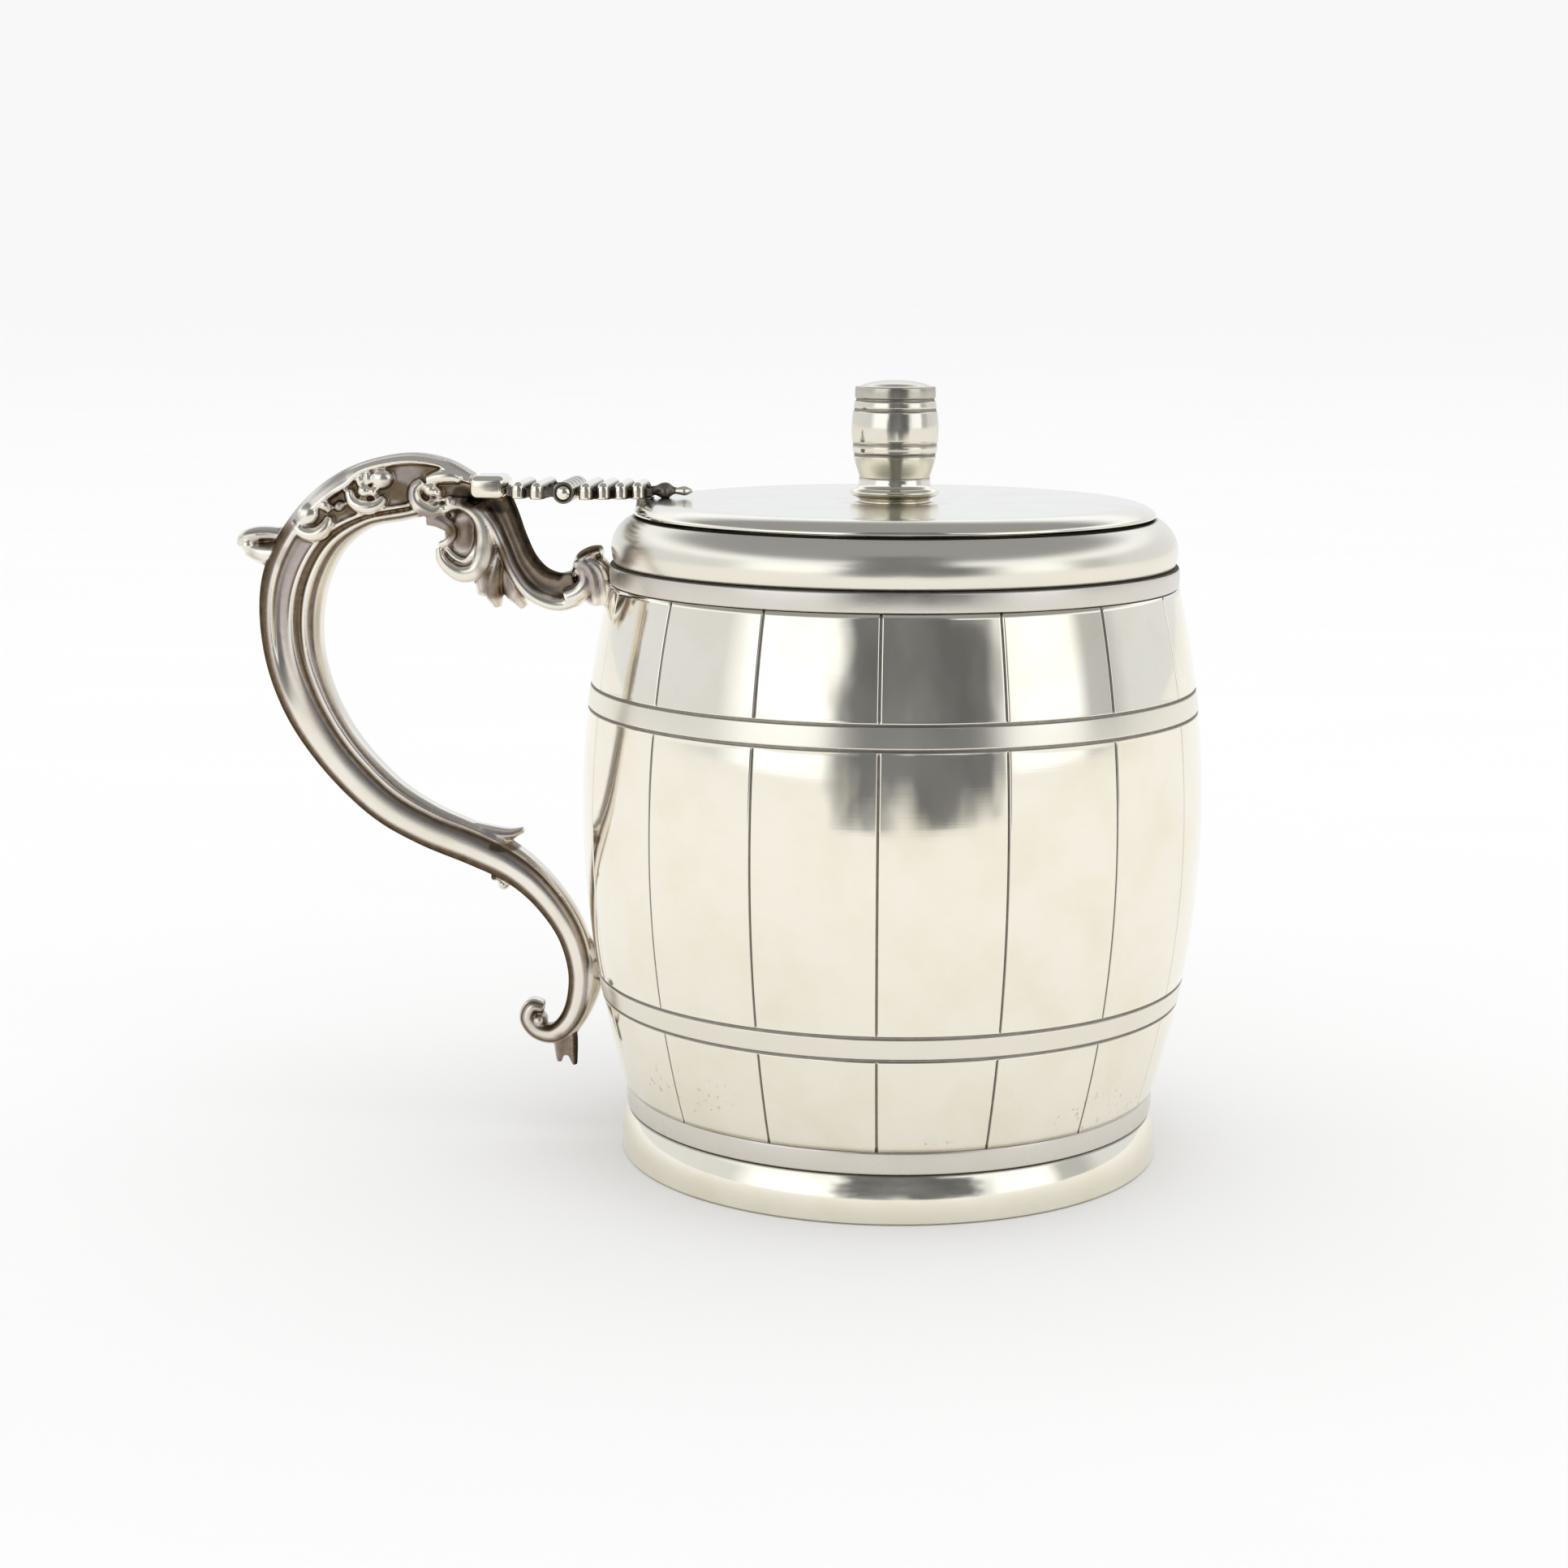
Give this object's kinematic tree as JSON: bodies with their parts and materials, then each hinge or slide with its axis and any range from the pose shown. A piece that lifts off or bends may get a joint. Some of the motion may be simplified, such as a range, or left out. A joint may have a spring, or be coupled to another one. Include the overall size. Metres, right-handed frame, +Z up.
{
  "type": "mustard pot",
  "caption": "Barrel-shaped silver mustard pot with engraved staves and hoops, a hinged flat lid with a barrel finial, a cast scroll handle and a lift-out glass liner.",
  "frame": {"origin": "centre of the foot ring's underside, on the barrel's axis", "axes": "+Z up along the barrel's axis; the handle and hinge are towards -X; the hinge pin runs along Y"},
  "size_m": [0.0956, 0.0606, 0.0758],
  "materials": {
    "polished_silver": "hand polished silver with fine scratches and a warm tone, dark in the engraved lines",
    "satin_silver": "satin silver bands, slightly dulled",
    "aged_silver": "cast silver, bright on the ribs with brown-grey tarnish in the hollows",
    "blue_glass": "clear deep blue glass"
  },
  "bodies": {
    "pot_body": {"barrel_body": "polished_silver", "base_plate": "polished_silver", "foot_ring": "polished_silver", "foot_wire": "satin_silver", "collar_hoop": "satin_silver", "neck_band": "polished_silver", "liner_seat": "polished_silver", "glass_liner": "blue_glass", "handle_scroll": "aged_silver", "handle_tail": "aged_silver", "tail_leaf": "aged_silver", "scroll_spur": "aged_silver", "handle_volute": "aged_silver", "handle_bud": "aged_silver", "scroll_curls": "aged_silver", "handle_bracket": "aged_silver", "bracket_leaf": "aged_silver", "bracket_terminal": "aged_silver", "hinge_block": "polished_silver", "handle_hinge_leaf": "polished_silver", "hinge_pin": "polished_silver"},
    "lid_body": {"lid_hinge_leaf": "polished_silver", "hinge_post": "polished_silver", "lid": "polished_silver", "lid_bezel": "polished_silver", "finial_base": "polished_silver", "finial_barrel": "polished_silver", "finial_stud": "polished_silver", "finial_nut": "polished_silver"}
  },
  "joints": [
    {"name": "lid_hinge", "type": "hinge", "parent": "pot_body", "child": "lid_body", "pos_m": [-0.03159, 0, 0.065], "axis": [0, -1, 0], "range_deg": [0, 95]}
  ]
}
